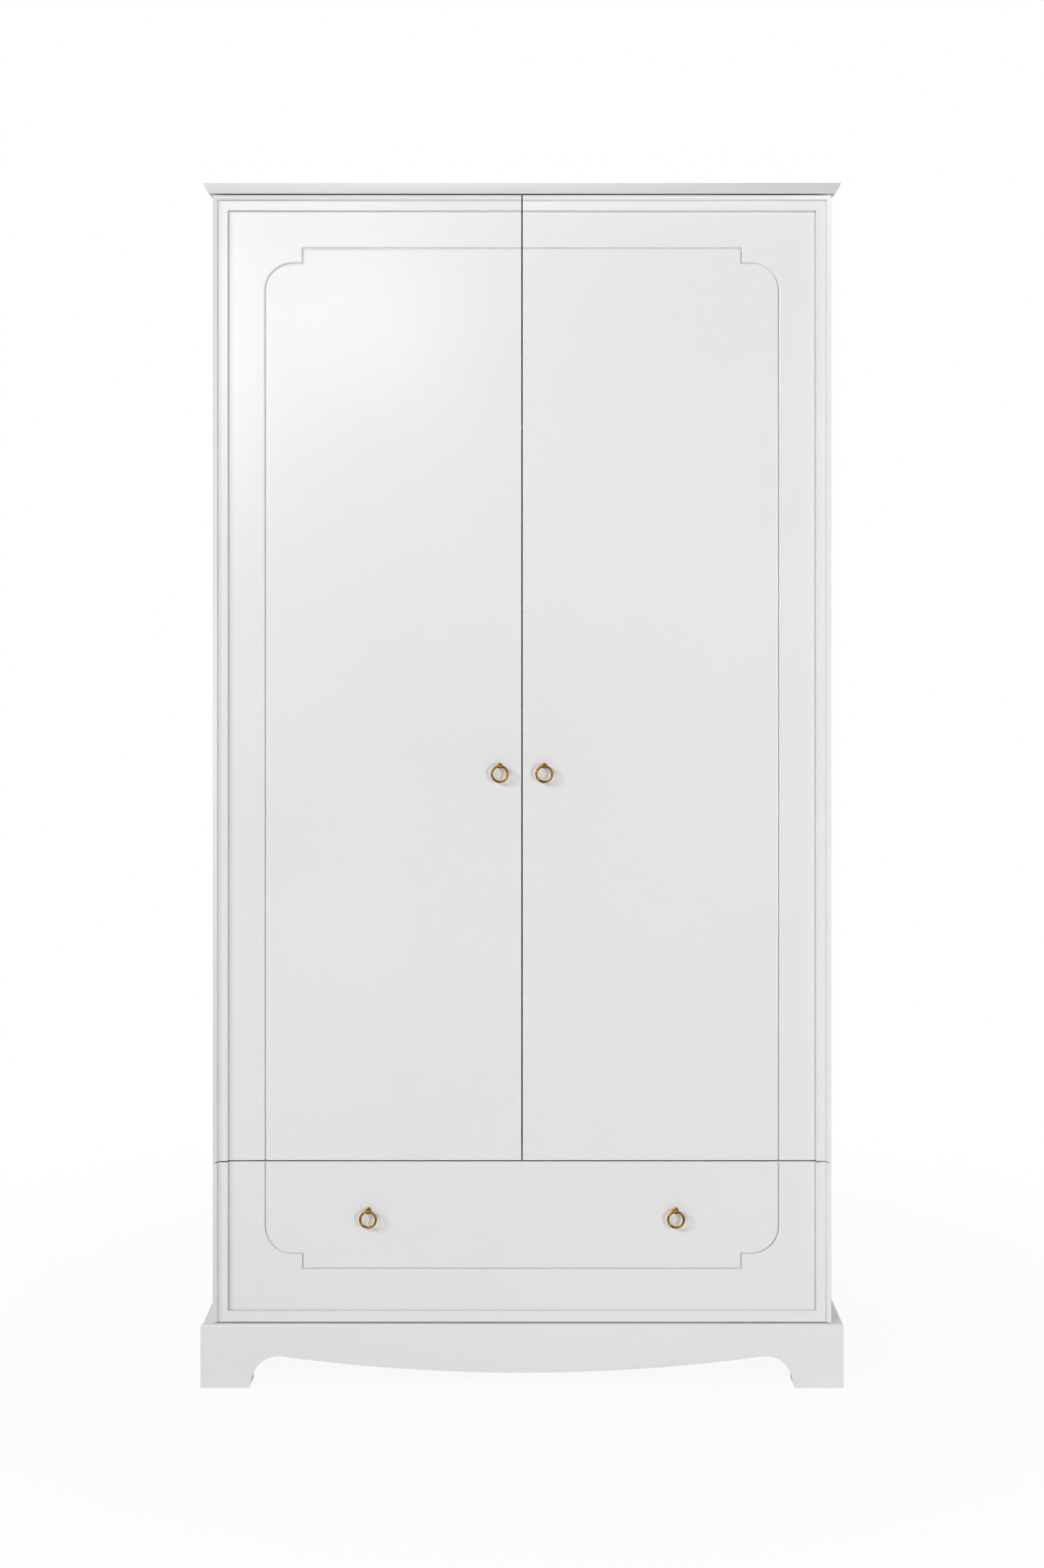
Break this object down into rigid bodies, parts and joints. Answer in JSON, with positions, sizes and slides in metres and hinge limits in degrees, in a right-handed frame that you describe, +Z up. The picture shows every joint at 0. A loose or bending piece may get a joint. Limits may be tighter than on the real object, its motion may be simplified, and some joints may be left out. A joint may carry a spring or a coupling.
{
  "type": "two-door wardrobe",
  "caption": "White lacquered wardrobe with doors over a wide drawer, a grooved front with stepped corners, brass ring pulls, a splayed crown and a bracket-foot plinth.",
  "frame": {"origin": "middle of the footprint on the floor", "axes": "+X to the right seen from the front, +Y to the back, +Z up; doors and drawer face -Y"},
  "size_m": [1.068, 0.62, 2],
  "materials": {
    "satin_lacquer": "satin white lacquer",
    "inside_lacquer": "matt white lacquer",
    "bare_pine": "planed",
    "brass": "polished",
    "zinc_plated_steel": "bright zinc",
    "chrome": "polished",
    "clear_rubber": "translucent",
    "black_nylon": "moulded"
  },
  "bodies": {
    "carcass": {"left_side": "satin_lacquer", "right_side": "satin_lacquer", "top_board": "satin_lacquer", "bottom_board": "inside_lacquer", "divider_board": "inside_lacquer", "top_rail": "inside_lacquer", "door_stop": "inside_lacquer", "back_panel_left": "inside_lacquer", "back_panel_right": "inside_lacquer", "back_joint_strip": "inside_lacquer", "hat_shelf": "inside_lacquer", "shelf_pins": "zinc_plated_steel", "hanging_rail": "chrome", "rail_sockets": "chrome", "plinth_front": "satin_lacquer", "plinth_left": "satin_lacquer", "plinth_right": "satin_lacquer", "plinth_back": "satin_lacquer", "plinth_battens": "bare_pine", "plinth_corner_blocks": "bare_pine", "left_hinge_plates": "zinc_plated_steel", "right_hinge_plates": "zinc_plated_steel", "door_magnets": "zinc_plated_steel", "door_buffers": "clear_rubber", "wall_brackets": "zinc_plated_steel", "left_runner_outer": "zinc_plated_steel", "right_runner_outer": "zinc_plated_steel"},
    "left_door": {"left_door_panel": "satin_lacquer", "left_door_moulding": "satin_lacquer", "left_hinge_leaves": "zinc_plated_steel", "left_door_post": "brass", "left_door_nut": "zinc_plated_steel", "left_strike_disc": "zinc_plated_steel"},
    "right_door": {"right_door_panel": "satin_lacquer", "right_door_moulding": "satin_lacquer", "right_hinge_leaves": "zinc_plated_steel", "right_door_post": "brass", "right_door_nut": "zinc_plated_steel", "right_strike_disc": "zinc_plated_steel"},
    "drawer": {"drawer_front": "satin_lacquer", "drawer_moulding": "satin_lacquer", "drawer_box_front": "inside_lacquer", "drawer_side_left": "inside_lacquer", "drawer_side_right": "inside_lacquer", "drawer_back": "inside_lacquer", "drawer_bottom": "inside_lacquer", "drawer_posts": "brass", "drawer_nuts": "zinc_plated_steel", "left_runner_inner": "zinc_plated_steel", "right_runner_inner": "zinc_plated_steel"},
    "left_door_pull": {"left_door_ring": "brass"},
    "right_door_pull": {"right_door_ring": "brass"},
    "left_drawer_pull": {"left_drawer_ring": "brass"},
    "right_drawer_pull": {"right_drawer_ring": "brass"},
    "left_runner": {"left_runner_middle": "zinc_plated_steel", "left_ball_cages": "black_nylon"},
    "right_runner": {"right_runner_middle": "zinc_plated_steel", "right_ball_cages": "black_nylon"}
  },
  "joints": [
    {"name": "left_door_hinge", "type": "hinge", "parent": "carcass", "child": "left_door", "pos_m": [-0.5075, -0.2685, 1.178], "axis": [0, 0, -1], "range_deg": [0, 110]},
    {"name": "right_door_hinge", "type": "hinge", "parent": "carcass", "child": "right_door", "pos_m": [0.5075, -0.2685, 1.178], "axis": [0, 0, 1], "range_deg": [0, 110]},
    {"name": "drawer_slide", "type": "slide", "parent": "carcass", "child": "drawer", "axis": [0, -1, 0], "range_m": [0, 0.42]},
    {"name": "left_runner_slide", "type": "slide", "parent": "carcass", "child": "left_runner", "axis": [0, -1, 0], "range_m": [0, 0.21]},
    {"name": "right_runner_slide", "type": "slide", "parent": "carcass", "child": "right_runner", "axis": [0, -1, 0], "range_m": [0, 0.21]},
    {"name": "left_door_ring_swing", "type": "hinge", "parent": "left_door", "child": "left_door_pull", "pos_m": [-0.037, -0.294, 1.033], "axis": [-1, 0, 0], "range_deg": [-20, 180]},
    {"name": "right_door_ring_swing", "type": "hinge", "parent": "right_door", "child": "right_door_pull", "pos_m": [0.037, -0.294, 1.033], "axis": [-1, 0, 0], "range_deg": [-20, 180]},
    {"name": "left_drawer_ring_swing", "type": "hinge", "parent": "drawer", "child": "left_drawer_pull", "pos_m": [-0.256, -0.294, 0.292], "axis": [-1, 0, 0], "range_deg": [-20, 180]},
    {"name": "right_drawer_ring_swing", "type": "hinge", "parent": "drawer", "child": "right_drawer_pull", "pos_m": [0.256, -0.294, 0.292], "axis": [-1, 0, 0], "range_deg": [-20, 180]}
  ],
  "couplings": [
    {"joint": "left_runner_slide", "follows": "drawer_slide", "ratio": 0.5},
    {"joint": "right_runner_slide", "follows": "drawer_slide", "ratio": 0.5}
  ]
}
